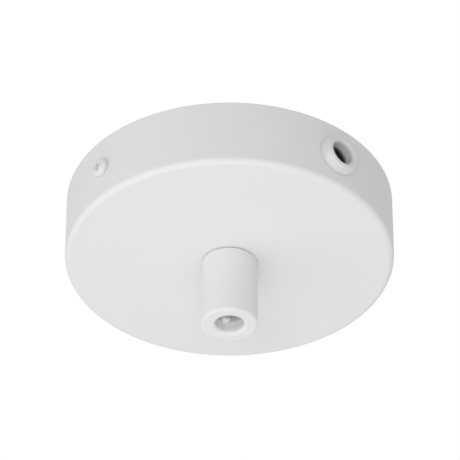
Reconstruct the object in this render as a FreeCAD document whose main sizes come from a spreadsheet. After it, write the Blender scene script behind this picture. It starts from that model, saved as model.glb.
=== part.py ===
import FreeCAD, Part
import os

import Sketcher

# A round ceiling rose for one pendant cord. It hangs from the ceiling plane at
# height 0, with its steel canopy below that plane and its cord grip lowest.
# X runs along the bracket, from one side screw to the other, and the side
# entry for a second cable faces -Y.

SIZES = {
    # the drawn steel canopy
    "canopy_radius": 60,
    "canopy_height": 27,
    "canopy_wall": 1,
    "canopy_edge_round": 2.6,
    "canopy_rim_round": 0.6,
    # how far below the ceiling the side screws and the side entry lie
    "side_depth": 13.3,
    # the bent strip that is screwed to the ceiling
    "bracket_width": 20,
    "bracket_thickness": 1.5,
    "bracket_bend": 1.5,
    "ear_gap": 0.25,
    "ear_drop": 18,
    "ear_corner": 5,
    "slot_centre": 44,
    "slot_length": 12,
    "slot_width": 4.5,
    "supply_hole": 6,
    # the hollow threaded tube, its toothed washer and its nut
    "nipple_radius": 5,
    "nipple_bore": 4,
    "nipple_in_grip": 8,
    "nipple_past_nut": 1.4,
    "nipple_chamfer": 0.5,
    "hole_play": 0.25,
    "thread_play": 0.05,
    "lock_washer_radius": 8,
    "lock_washer_thickness": 0.8,
    "lock_washer_tooth": 1.6,
    "lock_washer_teeth": 12,
    "nut_flats": 14,
    "nut_thickness": 3,
    # the moulded cord grip under the canopy
    "grip_radius": 10.2,
    "grip_length": 27.8,
    "grip_mouth": 5.1,
    "grip_mouth_depth": 3.9,
    "grip_passage": 4.9,
    "grip_lip_round": 1.5,
    "grip_end_round": 0.8,
    "grip_top_round": 0.4,
    # the nylon screw that pinches the cord
    "grip_screw_radius": 2,
    "grip_screw_length": 7.2,
    "grip_screw_reach": 2.1,
    "grip_screw_height": 6,
    "grip_screw_turn": 70,
    "grip_screw_point": 0.6,
    # the side screws
    "side_screw_radius": 1.75,
    "side_screw_length": 8,
    "side_head_radius": 3.5,
    "side_head_height": 2.1,
    "side_head_round": 1.3,
    "cross_reach": 2.1,
    "cross_width": 0.95,
    "cross_depth": 1.5,
    "cross_taper": 10,
    # the bush in the side entry
    "bush_bore": 4.5,
    "bush_neck_wall": 1.3,
    "bush_flange": 7.9,
    "bush_proud": 3.3,
    "bush_rim": 0.7,
    "bush_crown": 1.9,
    "bush_crown_round": 1,
    "bush_edge_round": 0.5,
    "bush_lip_round": 1.3,
    "bush_clip_overlap": 1.1,
    "bush_clip_thickness": 1.2,
    "bush_clip_chamfer": 0.5,
    "bush_flare": 0.9,
    "bush_play": 0.1,
    # the three-pole terminal block
    "block_centre": 22,
    "block_past_barrel": 1,
    "block_height": 12,
    "pole_pitch": 11.5,
    "pole_radius": 3.2,
    "pole_depth": 4,
    "web_length": 11,
    "web_thickness": 2.5,
    "tower_radius": 2.9,
    "barrel_radius": 2.4,
    "barrel_length": 16,
    "barrel_end_to_screw": 3.2,
    "barrel_play": 0.1,
    "wire_bore": 1.6,
    "clamp_screw_radius": 1.5,
    "clamp_head_radius": 1.85,
    "clamp_head_height": 1.8,
    "clamp_head_play": 0.15,
    "clamp_head_inset": 0.4,
    "fixing_screw_radius": 1.25,
    "fixing_head_radius": 2.25,
    "fixing_head_height": 1.5,
    # the earth screw, its washer and the collar drawn in the bracket for it
    "earth_centre": 24,
    "earth_screw_radius": 2,
    "earth_head_radius": 3.6,
    "earth_head_height": 2.2,
    "earth_collar_radius": 3.2,
    "earth_collar_drop": 1.6,
    "earth_washer_radius": 4.6,
    "earth_washer_thickness": 0.8,
    "earth_washer_tooth": 1.1,
    "earth_washer_teeth": 8,
    # what small screws share
    "tip_chamfer": 0.3,
    "tip_below_ceiling": 0.2,
    "slot_cut": 0.7,
    "slot_depth": 0.8,
    "small_head_round": 0.35,
}

WHOLE_TURN = 360
MARGIN = 1

doc = FreeCAD.newDocument("ceiling_rose")
sheet = doc.addObject("Spreadsheet::Sheet", "sizes")
for row, (alias, number) in enumerate(SIZES.items(), start=1):
    sheet.set(f"A{row}", alias)
    sheet.set(f"B{row}", str(number))
    sheet.setAlias(f"B{row}", alias)
doc.recompute()

# Places that more than one piece needs, each worked out from the sheet once.
INNER_RADIUS = "(sizes.canopy_radius - sizes.canopy_wall)"
INNER_FACE = "(sizes.canopy_wall - sizes.canopy_height)"
EAR_FACE = f"(sqrt({INNER_RADIUS} ^ 2 - (sizes.bracket_width / 2) ^ 2) - sizes.ear_gap)"
EAR_INSIDE = f"({EAR_FACE} - sizes.bracket_thickness)"
NIPPLE_HOLE = "(sizes.nipple_radius + sizes.hole_play)"
NUT_SEAT = f"({INNER_FACE} + sizes.lock_washer_thickness)"
NIPPLE_TOP = f"({NUT_SEAT} + sizes.nut_thickness + sizes.nipple_past_nut)"
NIPPLE_END = "(-sizes.canopy_height - sizes.nipple_in_grip)"
BUSH_NECK = "(sizes.bush_bore + sizes.bush_neck_wall)"
BUSH_HOLE = f"({BUSH_NECK} + sizes.bush_play)"
BUSH_CLIP = f"({BUSH_NECK} + sizes.bush_clip_overlap)"
BUSH_CLIP_FACE = f"(sqrt({INNER_RADIUS} ^ 2 - {BUSH_CLIP} ^ 2) - sizes.bush_play)"
BARREL_HOLE = "(sizes.barrel_radius + sizes.barrel_play)"
BARREL_AXIS = "(-sizes.bracket_thickness - sizes.pole_depth)"
BLOCK_LENGTH = "(sizes.barrel_length + 2 * sizes.block_past_barrel)"
CLAMP_OFFSET = "(sizes.barrel_length / 2 - sizes.barrel_end_to_screw)"
EARTH_SEAT = "(-sizes.bracket_thickness - sizes.earth_collar_drop)"


def value(expression):
    """The number that an expression of the sheet gives."""
    return float(sheet.evalExpression(expression))


def new_body(label, *, x="0", y="0", z="0", turn=(0, 0, 0)):
    """An empty piece whose origin is placed by expressions, turned by yaw, pitch and roll."""
    body = doc.addObject("PartDesign::Body", label)
    body.Label = label
    body.Placement.Rotation = FreeCAD.Rotation(*turn)
    for axis, expression in zip("xyz", (x, y, z)):
        body.setExpression(f"Placement.Base.{axis}", expression)
    return body


def new_sketch(body, name, role, offset="0"):
    """A sketch on one of the piece's own planes, moved along the plane's normal by offset."""
    sketch = body.newObject("Sketcher::SketchObject", name)
    plane = next(part for part in body.Origin.OriginFeatures if part.Role == role)
    sketch.AttachmentSupport = (plane, [""])
    sketch.MapMode = "FlatFace"
    sketch.setExpression("AttachmentOffset.Base.z", offset)
    return sketch


def hold_point(sketch, geometry, point, across, up):
    """Holds one point of a sketch at two expressions, measured from the sketch's origin."""
    for kind, expression in (("DistanceX", across), ("DistanceY", up)):
        number = value(expression)
        held = sketch.addConstraint(Sketcher.Constraint(kind, -1, 1, geometry, point, number))
        sketch.setExpression(f"Constraints[{held}]", expression)


def outline(body, name, role, corners, offset="0"):
    """A sketch of one closed outline with straight sides."""
    sketch = new_sketch(body, name, role, offset)
    points = [FreeCAD.Vector(value(across), value(up), 0) for across, up in corners]
    count = len(points)
    for index, point in enumerate(points):
        sketch.addGeometry(Part.LineSegment(point, points[(index + 1) % count]), False)
    for index in range(count):
        following = (index + 1) % count
        sketch.addConstraint(Sketcher.Constraint("Coincident", index, 2, following, 1))
    for index, (across, up) in enumerate(corners):
        hold_point(sketch, index, 1, across, up)
    doc.recompute()
    return sketch


def rectangle(body, name, role, left, right, low, high, offset="0"):
    """A sketch of one upright rectangle."""
    corners = [(left, low), (right, low), (right, high), (left, high)]
    return outline(body, name, role, corners, offset)


def circles(body, name, role, rings, offset="0"):
    """A sketch of circles, each given as across, up and radius."""
    sketch = new_sketch(body, name, role, offset)
    for index, (across, up, radius) in enumerate(rings):
        centre = FreeCAD.Vector(value(across), value(up), 0)
        up_axis = FreeCAD.Vector(0, 0, 1)
        sketch.addGeometry(Part.Circle(centre, up_axis, value(radius)), False)
        hold_point(sketch, index, 3, across, up)
        held = sketch.addConstraint(Sketcher.Constraint("Radius", index, value(radius)))
        sketch.setExpression(f"Constraints[{held}]", radius)
    doc.recompute()
    return sketch


def revolve(body, name, sketch):
    """Turns an outline of the XZ plane once round the piece's own Z axis."""
    feature = body.newObject("PartDesign::Revolution", name)
    feature.Profile = sketch
    feature.ReferenceAxis = (sketch, ["V_Axis"])
    feature.Angle = WHOLE_TURN
    doc.recompute()
    return feature


def groove(body, name, sketch):
    """Turns an outline round the piece's own Z axis and takes it away."""
    before = body.Shape.Volume
    feature = body.newObject("PartDesign::Groove", name)
    feature.Profile = sketch
    feature.ReferenceAxis = (sketch, ["V_Axis"])
    feature.Angle = WHOLE_TURN
    doc.recompute()
    require_less(body, name, before)
    return feature


def pad(body, name, sketch, length, middle=False, back=False):
    """Adds an outline drawn out to a length, to one side of its plane or evenly to both."""
    feature = body.newObject("PartDesign::Pad", name)
    feature.Profile = sketch
    feature.setExpression("Length", length)
    feature.Midplane = middle
    feature.Reversed = back
    doc.recompute()
    return feature


def pocket(body, name, sketch, length, middle=False, back=False, taper="0"):
    """Takes away an outline drawn out to a length, and checks that it met the piece."""
    before = body.Shape.Volume
    feature = body.newObject("PartDesign::Pocket", name)
    feature.Profile = sketch
    feature.setExpression("Length", length)
    feature.setExpression("TaperAngle", taper)
    feature.Midplane = middle
    feature.Reversed = back
    doc.recompute()
    require_less(body, name, before)
    return feature


def require_less(body, name, before):
    """Stops the build where a cut took nothing away."""
    if not body.Shape.Volume < before:
        raise RuntimeError(f"{body.Label}: {name} cuts nothing")


def repeat_round(body, name, original, count):
    """Repeats a feature evenly round the piece's own Z axis."""
    before = body.Shape.Volume
    feature = body.newObject("PartDesign::PolarPattern", name)
    feature.Originals = [original]
    feature.Axis = (original.Profile[0], ["N_Axis"])
    feature.Angle = WHOLE_TURN
    feature.setExpression("Occurrences", count)
    body.Tip = feature
    doc.recompute()
    require_less(body, name, before)
    return feature


def edge_names(body, chosen):
    """The names of the piece's edges for which chosen says yes."""
    edges = body.Tip.Shape.Edges
    return [f"Edge{index}" for index, edge in enumerate(edges, start=1) if chosen(edge)]


def ring(radius, height):
    """Picks the round edges of one radius at one height on the piece's own Z axis."""
    nearness = 0.01

    def chosen(edge):
        curve = edge.Curve
        if not isinstance(curve, Part.Circle):
            return False
        same_radius = abs(curve.Radius - value(radius)) < nearness
        same_height = abs(curve.Center.z - value(height)) < nearness
        on_axis = abs(curve.Center.x) + abs(curve.Center.y) < nearness
        return same_radius and same_height and on_axis

    return chosen


def straight(**places):
    """Picks the straight edges whose middles lie at the given distances, either side of zero."""
    nearness = 0.01

    def chosen(edge):
        if not isinstance(edge.Curve, Part.Line):
            return False
        middle = edge.CenterOfMass
        return all(
            abs(abs(getattr(middle, axis)) - abs(value(place))) < nearness
            for axis, place in places.items()
        )

    return chosen


def dress(body, kind, name, size, chosen):
    """Rounds or chamfers the chosen edges."""
    base = body.Tip
    names = edge_names(body, chosen)
    if not names:
        raise RuntimeError(f"{body.Label}: {name} finds no edge")
    feature = body.newObject(f"PartDesign::{kind}", name)
    feature.Base = (base, names)
    feature.setExpression("Radius" if kind == "Fillet" else "Size", size)
    doc.recompute()
    return feature


def make_canopy():
    """The drawn cup that covers the wiring, with its three kinds of hole."""
    body = new_body("canopy")
    section = outline(body, "cup_section", "XZ_Plane", [
        ("0", "-sizes.canopy_height"),
        ("sizes.canopy_radius", "-sizes.canopy_height"),
        ("sizes.canopy_radius", "0"),
        (INNER_RADIUS, "0"),
        (INNER_RADIUS, INNER_FACE),
        ("0", INNER_FACE),
    ])
    revolve(body, "cup", section)
    outer_edge = ring("sizes.canopy_radius", "-sizes.canopy_height")
    dress(body, "Fillet", "outer_edge", "sizes.canopy_edge_round", outer_edge)
    inner_round = "(sizes.canopy_edge_round - sizes.canopy_wall)"
    dress(body, "Fillet", "inner_edge", inner_round, ring(INNER_RADIUS, INNER_FACE))
    dress(body, "Fillet", "rim", "sizes.canopy_rim_round", ring("sizes.canopy_radius", "0"))
    nipple_hole = circles(body, "nipple_ring", "XY_Plane", [("0", "0", NIPPLE_HOLE)])
    through = f"2 * (sizes.canopy_height + {MARGIN})"
    pocket(body, "nipple_hole", nipple_hole, through, middle=True)
    screw_hole = "(sizes.side_screw_radius + sizes.hole_play)"
    screw_ring = [("0", "-sizes.side_depth", screw_hole)]
    screw_rings = circles(body, "screw_ring", "YZ_Plane", screw_ring)
    across = f"2 * (sizes.canopy_radius + {MARGIN})"
    pocket(body, "screw_holes", screw_rings, across, middle=True)
    bush_ring = circles(body, "bush_ring", "XZ_Plane", [("0", "-sizes.side_depth", BUSH_HOLE)])
    pocket(body, "bush_hole", bush_ring, f"sizes.canopy_radius + {MARGIN}", back=True)
    return body


def slot_sketch(body, name, centres, length, width):
    """A sketch of slots that run along X, one for each centre."""
    sketch = new_sketch(body, name, "XY_Plane")
    radius = value(width) / 2
    up_axis = FreeCAD.Vector(0, 0, 1)
    quarter = Part.Circle().LastParameter / 4
    for centre in centres:
        first = sketch.GeometryCount
        left_x = f"({centre} - ({length} - {width}) / 2)"
        right_x = f"({centre} + ({length} - {width}) / 2)"
        left = FreeCAD.Vector(value(left_x), 0, 0)
        right = FreeCAD.Vector(value(right_x), 0, 0)
        rise = FreeCAD.Vector(0, radius, 0)
        left_end = Part.ArcOfCircle(Part.Circle(left, up_axis, radius), quarter, 3 * quarter)
        right_end = Part.ArcOfCircle(Part.Circle(right, up_axis, radius), -quarter, quarter)
        sketch.addGeometry(left_end, False)
        sketch.addGeometry(Part.LineSegment(left - rise, right - rise), False)
        sketch.addGeometry(right_end, False)
        sketch.addGeometry(Part.LineSegment(right + rise, left + rise), False)
        for step in range(4):
            side, following = first + step, first + (step + 1) % 4
            joined = Sketcher.Constraint("Tangent", side, 2, following, 1)
            sketch.addConstraint(joined)
        hold_point(sketch, first, 3, left_x, "0")
        hold_point(sketch, first + 2, 3, right_x, "0")
        held = sketch.addConstraint(Sketcher.Constraint("Radius", first, radius))
        sketch.setExpression(f"Constraints[{held}]", f"{width} / 2")
    doc.recompute()
    return sketch


def make_bracket():
    """The bent steel strip between ceiling and canopy, with an ear at each end."""
    body = new_body("mounting_bracket")
    strip = outline(body, "bent_strip", "XZ_Plane", [
        (EAR_FACE, "0"),
        (EAR_FACE, "-sizes.ear_drop"),
        (EAR_INSIDE, "-sizes.ear_drop"),
        (EAR_INSIDE, "-sizes.bracket_thickness"),
        (f"-{EAR_INSIDE}", "-sizes.bracket_thickness"),
        (f"-{EAR_INSIDE}", "-sizes.ear_drop"),
        (f"-{EAR_FACE}", "-sizes.ear_drop"),
        (f"-{EAR_FACE}", "0"),
    ])
    pad(body, "strip", strip, "sizes.bracket_width", middle=True)
    outside = "(sizes.bracket_bend + sizes.bracket_thickness)"
    dress(body, "Fillet", "bend_outside", outside, straight(x=EAR_FACE, z="0"))
    inside = straight(x=EAR_INSIDE, z="sizes.bracket_thickness")
    dress(body, "Fillet", "bend_inside", "sizes.bracket_bend", inside)
    corners = straight(y="sizes.bracket_width / 2", z="sizes.ear_drop")
    dress(body, "Fillet", "ear_corners", "sizes.ear_corner", corners)
    collar_ring = [("-sizes.earth_centre", "0", "sizes.earth_collar_radius")]
    underside = "-sizes.bracket_thickness"
    collar = circles(body, "collar_ring", "XY_Plane", collar_ring, underside)
    pad(body, "earth_collar", collar, "sizes.earth_collar_drop", back=True)
    through = f"2 * (sizes.bracket_thickness + sizes.earth_collar_drop + {MARGIN})"
    centres = ["-sizes.slot_centre", "sizes.slot_centre"]
    slots = slot_sketch(body, "slot_lines", centres, "sizes.slot_length", "sizes.slot_width")
    pocket(body, "ceiling_slots", slots, through, middle=True)
    fixing_hole = "(sizes.fixing_screw_radius + sizes.thread_play)"
    round_holes = circles(body, "hole_rings", "XY_Plane", [
        ("0", "0", "sizes.supply_hole"),
        ("-sizes.earth_centre", "0", "(sizes.earth_screw_radius + sizes.thread_play)"),
        ("sizes.block_centre - sizes.pole_pitch / 2", "0", fixing_hole),
        ("sizes.block_centre + sizes.pole_pitch / 2", "0", fixing_hole),
    ])
    pocket(body, "round_holes", round_holes, through, middle=True)
    ear_hole = "(sizes.side_screw_radius + sizes.thread_play)"
    ear_ring = circles(body, "ear_ring", "YZ_Plane", [("0", "-sizes.side_depth", ear_hole)])
    pocket(body, "ear_holes", ear_ring, "2 * sizes.canopy_radius", middle=True)
    return body


def make_nipple():
    """The hollow threaded tube that joins the cord grip to the canopy."""
    body = new_body("nipple")
    bore, radius = "sizes.nipple_bore", "sizes.nipple_radius"
    corners = [(bore, NIPPLE_END), (radius, NIPPLE_END), (radius, NIPPLE_TOP), (bore, NIPPLE_TOP)]
    revolve(body, "tube", outline(body, "wall", "XZ_Plane", corners))
    dress(body, "Chamfer", "lower_end", "sizes.nipple_chamfer", ring(radius, NIPPLE_END))
    dress(body, "Chamfer", "upper_end", "sizes.nipple_chamfer", ring(radius, NIPPLE_TOP))
    return body


def make_toothed_washer(label, x, z, radius, bore, thickness, tooth, teeth):
    """A flat washer with its rim cut into teeth."""
    body = new_body(label, x=x, z=z)
    pad(body, "disc", circles(body, "disc_ring", "XY_Plane", [("0", "0", radius)]), thickness)
    hole = circles(body, "hole_ring", "XY_Plane", [("0", "0", bore)])
    cut_depth = f"{thickness} + {MARGIN}"
    pocket(body, "hole", hole, cut_depth, back=True)
    half_gap = f"({tooth} / 3)"
    gap = rectangle(
        body, "gap_lines", "XY_Plane",
        f"{radius} - {tooth}", f"{radius} + {MARGIN}", f"-{half_gap}", half_gap,
    )
    first = pocket(body, "first_gap", gap, cut_depth, back=True)
    repeat_round(body, "gaps", first, teeth)
    return body


def make_nut():
    """The hexagon nut that pulls the cord grip up against the canopy."""
    body = new_body("nipple_nut", z=NUT_SEAT)
    half = "sizes.nut_flats / 2"
    short = "sizes.nut_flats / (2 * sqrt(3))"
    tall = "sizes.nut_flats / sqrt(3)"
    hexagon = outline(body, "hexagon", "XY_Plane", [
        (half, f"-{short}"),
        (half, short),
        ("0", tall),
        (f"-{half}", short),
        (f"-{half}", f"-{short}"),
        ("0", f"-{tall}"),
    ])
    pad(body, "blank", hexagon, "sizes.nut_thickness")
    bore = circles(body, "bore_ring", "XY_Plane", [("0", "0", thread_hole("nipple_radius"))])
    pocket(body, "bore", bore, f"sizes.nut_thickness + {MARGIN}", back=True)
    reach = f"({tall} + {MARGIN})"
    bevel = outline(body, "bevel_section", "XZ_Plane", [
        (half, "sizes.nut_thickness"),
        (reach, f"sizes.nut_thickness - ({reach} - {half}) / sqrt(3)"),
        (reach, "sizes.nut_thickness"),
    ])
    groove(body, "bevel", bevel)
    return body


def thread_hole(radius):
    """The radius of a tapped hole for a screw or tube of a radius in the sheet."""
    return f"(sizes.{radius} + sizes.thread_play)"


def make_cord_grip():
    """The moulded sleeve under the canopy that the pendant cord comes out of."""
    turn = (value("sizes.grip_screw_turn"), 0, 0)
    body = new_body("cord_grip_body", z="-sizes.canopy_height", turn=turn)
    socket = thread_hole("nipple_radius")
    section = outline(body, "sleeve_section", "XZ_Plane", [
        (socket, "0"),
        ("sizes.grip_radius", "0"),
        ("sizes.grip_radius", "-sizes.grip_length"),
        ("sizes.grip_mouth", "-sizes.grip_length"),
        ("sizes.grip_mouth", "sizes.grip_mouth_depth - sizes.grip_length"),
        ("sizes.grip_passage", "sizes.grip_mouth_depth - sizes.grip_length"),
        ("sizes.grip_passage", "-sizes.nipple_in_grip"),
        (socket, "-sizes.nipple_in_grip"),
    ])
    revolve(body, "sleeve", section)
    dress(body, "Fillet", "top_edge", "sizes.grip_top_round", ring("sizes.grip_radius", "0"))
    end_edge = ring("sizes.grip_radius", "-sizes.grip_length")
    dress(body, "Fillet", "end_edge", "sizes.grip_end_round", end_edge)
    lip_edge = ring("sizes.grip_mouth", "-sizes.grip_length")
    dress(body, "Fillet", "mouth_lip", "sizes.grip_lip_round", lip_edge)
    screw_ring = ("0", "sizes.grip_screw_height - sizes.grip_length", thread_hole("grip_screw_radius"))
    screw_hole = circles(body, "screw_ring", "YZ_Plane", [screw_ring])
    pocket(body, "screw_hole", screw_hole, f"sizes.grip_radius + {MARGIN}", back=True)
    return body


def cut_slot(body, radius, top):
    """The straight driver slot across the outer end of a screw."""
    half = "sizes.slot_cut / 2"
    reach = f"({radius} + {MARGIN})"
    lines = rectangle(body, "slot_lines", "XY_Plane", f"-{reach}", reach, f"-{half}", half, top)
    pocket(body, "driver_slot", lines, "sizes.slot_depth")


def make_grip_screw():
    """The headless nylon screw in the side of the cord grip."""
    turn = value("sizes.grip_screw_turn")
    outer_end = "(sizes.grip_passage - sizes.grip_screw_reach + sizes.grip_screw_length)"
    body = new_body(
        "cord_grip_screw",
        x=f"{outer_end} * cos({turn})",
        y=f"{outer_end} * sin({turn})",
        z="sizes.grip_screw_height - sizes.grip_length - sizes.canopy_height",
        turn=(turn, 90, 0),
    )
    radius, tip = "sizes.grip_screw_radius", "-sizes.grip_screw_length"
    section = rectangle(body, "shank_section", "XZ_Plane", "0", radius, tip, "0")
    revolve(body, "shank", section)
    dress(body, "Chamfer", "point", "sizes.grip_screw_point", ring(radius, tip))
    dress(body, "Chamfer", "outer_end", "sizes.tip_chamfer", ring(radius, "0"))
    cut_slot(body, radius, "0")
    return body


def make_screw(label, place, turn, radius, length, head_radius, head_height, head_round):
    """A headed screw, its seat at the origin and its head towards its own +Z."""
    x, y, z = place
    body = new_body(label, x=x, y=y, z=z, turn=turn)
    section = outline(body, "screw_section", "XZ_Plane", [
        ("0", f"-{length}"),
        (radius, f"-{length}"),
        (radius, "0"),
        (head_radius, "0"),
        (head_radius, head_height),
        ("0", head_height),
    ])
    revolve(body, "blank", section)
    dress(body, "Fillet", "head_edge", head_round, ring(head_radius, head_height))
    dress(body, "Chamfer", "tip", "sizes.tip_chamfer", ring(radius, f"-{length}"))
    return body


def cut_cross(body, top):
    """The cross recess in the head of a side screw, narrower at its floor."""
    reach, half = "sizes.cross_reach", "(sizes.cross_width / 2)"
    lines = outline(body, "cross_lines", "XY_Plane", [
        (reach, f"-{half}"),
        (reach, half),
        (half, half),
        (half, reach),
        (f"-{half}", reach),
        (f"-{half}", half),
        (f"-{reach}", half),
        (f"-{reach}", f"-{half}"),
        (f"-{half}", f"-{half}"),
        (f"-{half}", f"-{reach}"),
        (half, f"-{reach}"),
        (half, f"-{half}"),
    ], top)
    pocket(body, "cross_recess", lines, "sizes.cross_depth", taper="-sizes.cross_taper")


def make_side_screws():
    """The two screws through the canopy wall into the ears of the bracket."""
    screws = []
    for label, sign, pitch in (("side_screw_left", "-", -90), ("side_screw_right", "", 90)):
        body = make_screw(
            label, (f"{sign}sizes.canopy_radius", "0", "-sizes.side_depth"), (0, pitch, 0),
            "sizes.side_screw_radius", "sizes.side_screw_length",
            "sizes.side_head_radius", "sizes.side_head_height", "sizes.side_head_round",
        )
        cut_cross(body, "sizes.side_head_height")
        screws.append(body)
    return screws


def make_side_bush():
    """The snap-in bush of the side entry; its flange is cut to the canopy's curve."""
    body = new_body("side_entry_bush", z="-sizes.side_depth", turn=(0, 0, 90))
    flange, crown = "sizes.bush_flange", "(sizes.bush_bore + sizes.bush_crown)"
    edge = "(sizes.canopy_radius + sizes.bush_rim)"
    top = "(sizes.canopy_radius + sizes.bush_proud)"
    seat = f"(sqrt(sizes.canopy_radius ^ 2 - {flange} ^ 2) - {MARGIN})"
    dome = outline(body, "flange_section", "XZ_Plane", [
        ("0", seat),
        (flange, seat),
        (flange, edge),
        (crown, top),
        ("0", top),
    ])
    revolve(body, "flange", dome)
    dress(body, "Fillet", "crown", "sizes.bush_crown_round", ring(crown, top))
    dress(body, "Fillet", "flange_edge", "sizes.bush_edge_round", ring(flange, edge))
    saddle_ring = [("0", "0", "(sizes.canopy_radius + sizes.bush_play)")]
    saddle = circles(body, "saddle_ring", "XZ_Plane", saddle_ring)
    pocket(body, "saddle", saddle, f"2 * ({flange} + {MARGIN})", middle=True)
    clip_end = f"({BUSH_CLIP_FACE} - sizes.bush_clip_thickness)"
    stem = outline(body, "stem_section", "XZ_Plane", [
        ("0", clip_end),
        (BUSH_CLIP, clip_end),
        (BUSH_CLIP, BUSH_CLIP_FACE),
        (BUSH_NECK, BUSH_CLIP_FACE),
        (BUSH_NECK, edge),
        ("0", edge),
    ])
    revolve(body, "stem", stem)
    dress(body, "Chamfer", "clip_edge", "sizes.bush_clip_chamfer", ring(BUSH_CLIP, clip_end))
    bore, above = "sizes.bush_bore", f"{top} + {MARGIN}"
    passage = outline(body, "bore_section", "XZ_Plane", [
        ("0", clip_end),
        (f"{bore} + sizes.bush_flare", clip_end),
        (bore, BUSH_CLIP_FACE),
        (bore, above),
        ("0", above),
    ])
    groove(body, "bore", passage)
    dress(body, "Fillet", "lip", "sizes.bush_lip_round", ring(bore, top))
    return body


POLES = ["-sizes.pole_pitch", "0", "sizes.pole_pitch"]


def make_terminal_housing():
    """The moulded block: three poles on a web, each with a tower at both ends."""
    body = new_body("terminal_housing", x="sizes.block_centre", z="-sizes.bracket_thickness")
    depth, radius = "sizes.pole_depth", "sizes.pole_radius"
    half_web = "sizes.web_length / 2"
    web = rectangle(
        body, "web_lines", "XY_Plane", POLES[0], POLES[-1], f"-{half_web}", half_web,
    )
    pad(body, "web", web, "sizes.web_thickness", back=True)
    for index, pole in enumerate(POLES):
        left, right = f"{pole} - {radius}", f"{pole} + {radius}"
        cheeks = rectangle(body, f"cheeks_{index}", "XZ_Plane", left, right, f"-{depth}", "0")
        pad(body, f"pole_{index}", cheeks, BLOCK_LENGTH, middle=True)
    rounds = [(pole, f"-{depth}", radius) for pole in POLES]
    round_backs = circles(body, "round_backs", "XZ_Plane", rounds)
    pad(body, "pole_backs", round_backs, BLOCK_LENGTH, middle=True)
    places = [(pole, f"{side}{CLAMP_OFFSET}") for pole in POLES for side in ("-", "")]
    tower_rings = [(across, along, "sizes.tower_radius") for across, along in places]
    towers = circles(body, "tower_rings", "XY_Plane", tower_rings, f"-{depth}")
    pad(body, "towers", towers, f"sizes.block_height - {depth}", back=True)
    barrel_rings = [(pole, f"-{depth}", BARREL_HOLE) for pole in POLES]
    barrel_holes = circles(body, "barrel_rings", "XZ_Plane", barrel_rings)
    pocket(body, "barrel_holes", barrel_holes, f"{BLOCK_LENGTH} + {MARGIN}", middle=True)
    head_bore = "(sizes.clamp_head_radius + sizes.clamp_head_play)"
    well_rings = [(across, along, head_bore) for across, along in places]
    wells = circles(body, "well_rings", "XY_Plane", well_rings, "-sizes.block_height")
    pocket(body, "screw_wells", wells, f"sizes.block_height - {depth}", back=True)
    fixing_hole = "(sizes.fixing_screw_radius + sizes.hole_play)"
    half_pitch = "sizes.pole_pitch / 2"
    fixings = [(f"{side}{half_pitch}", "0", fixing_hole) for side in ("-", "")]
    fixing_holes = circles(body, "fixing_rings", "XY_Plane", fixings)
    pocket(body, "fixing_holes", fixing_holes, f"sizes.web_thickness + {MARGIN}")
    return body


def make_barrels_and_clamp_screws():
    """For each pole, the brass barrel that takes the wires and the two screws that clamp them."""
    pieces = []
    for name, pole in zip(("live", "neutral", "earth"), POLES):
        x = f"sizes.block_centre + {pole}"
        barrel = new_body(f"{name}_barrel", x=x, z=BARREL_AXIS)
        bar = circles(barrel, "bar_ring", "XZ_Plane", [("0", "0", "sizes.barrel_radius")])
        pad(barrel, "bar", bar, "sizes.barrel_length", middle=True)
        wire_ring = circles(barrel, "wire_ring", "XZ_Plane", [("0", "0", "sizes.wire_bore")])
        pocket(barrel, "wire_bore", wire_ring, f"sizes.barrel_length + {MARGIN}", middle=True)
        hole = thread_hole("clamp_screw_radius")
        rings = [("0", f"{side}{CLAMP_OFFSET}", hole) for side in ("-", "")]
        tapped = circles(barrel, "tapped_rings", "XY_Plane", rings)
        pocket(barrel, "tapped_holes", tapped, f"sizes.barrel_radius + {MARGIN}")
        pieces.append(barrel)
        seat = (
            "(-sizes.bracket_thickness - sizes.block_height"
            " + sizes.clamp_head_inset + sizes.clamp_head_height)"
        )
        length = f"({BARREL_AXIS} - sizes.wire_bore - {seat})"
        for end, side in (("front", "-"), ("rear", "")):
            screw = make_screw(
                f"{name}_screw_{end}", (x, f"{side}{CLAMP_OFFSET}", seat), (0, 0, 180),
                "sizes.clamp_screw_radius", length,
                "sizes.clamp_head_radius", "sizes.clamp_head_height", "sizes.small_head_round",
            )
            cut_slot(screw, "sizes.clamp_head_radius", "sizes.clamp_head_height")
            pieces.append(screw)
    return pieces


def make_fixing_screws():
    """The two screws that hold the terminal block under the bracket."""
    screws = []
    seat = "(-sizes.bracket_thickness - sizes.web_thickness)"
    for label, side in (("block_screw_inner", "-"), ("block_screw_outer", "+")):
        screw = make_screw(
            label, (f"sizes.block_centre {side} sizes.pole_pitch / 2", "0", seat), (0, 0, 180),
            "sizes.fixing_screw_radius", f"(-{seat} - sizes.tip_below_ceiling)",
            "sizes.fixing_head_radius", "sizes.fixing_head_height", "sizes.small_head_round",
        )
        cut_slot(screw, "sizes.fixing_head_radius", "sizes.fixing_head_height")
        screws.append(screw)
    return screws


def make_earth_screw():
    """The screw for the earth wire, which clamps it under the toothed washer."""
    seat = f"({EARTH_SEAT} - sizes.earth_washer_thickness)"
    screw = make_screw(
        "earth_screw", ("-sizes.earth_centre", "0", seat), (0, 0, 180),
        "sizes.earth_screw_radius", f"(-{seat} - sizes.tip_below_ceiling)",
        "sizes.earth_head_radius", "sizes.earth_head_height", "sizes.small_head_round",
    )
    cut_slot(screw, "sizes.earth_head_radius", "sizes.earth_head_height")
    return screw


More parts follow.
